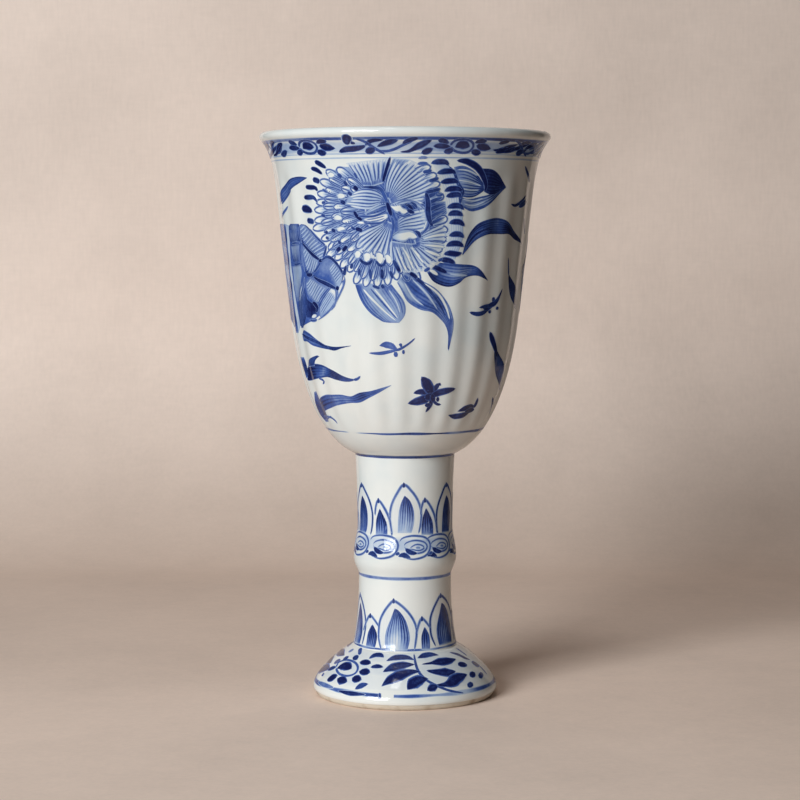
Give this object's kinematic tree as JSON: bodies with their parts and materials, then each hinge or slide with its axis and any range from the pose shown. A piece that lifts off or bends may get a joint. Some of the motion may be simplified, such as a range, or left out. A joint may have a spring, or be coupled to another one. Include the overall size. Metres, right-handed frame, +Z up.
{
  "type": "stem cup",
  "caption": "Porcelain stem cup with a flared, fluted bowl on a hollow stem with a knop and a domed spreading foot.",
  "frame": {"origin": "on the table, at the centre of the foot ring", "axes": "+Z up along the axis of the cup; -Y is the side that the picture faces, with +X to its right"},
  "size_m": [0.0772, 0.0772, 0.15],
  "materials": {
    "porcelain": "fired porcelain body, bare and slightly rough, seen only at the foot ring",
    "slip": "fired joining slip, hidden in the joints",
    "glaze": "clear glossy glaze with a faint blue-grey tinge over underglaze blue painting"
  },
  "bodies": {
    "root": {"bowl": "porcelain", "upper_stem": "porcelain", "lower_stem": "porcelain", "foot": "porcelain", "bowl_luting": "slip", "knop_luting": "slip", "foot_luting": "slip", "bowl_glaze": "glaze", "bowl_lining": "glaze", "upper_stem_glaze": "glaze", "lower_stem_glaze": "glaze", "foot_glaze": "glaze", "underside_glaze": "glaze"}
  },
  "joints": []
}
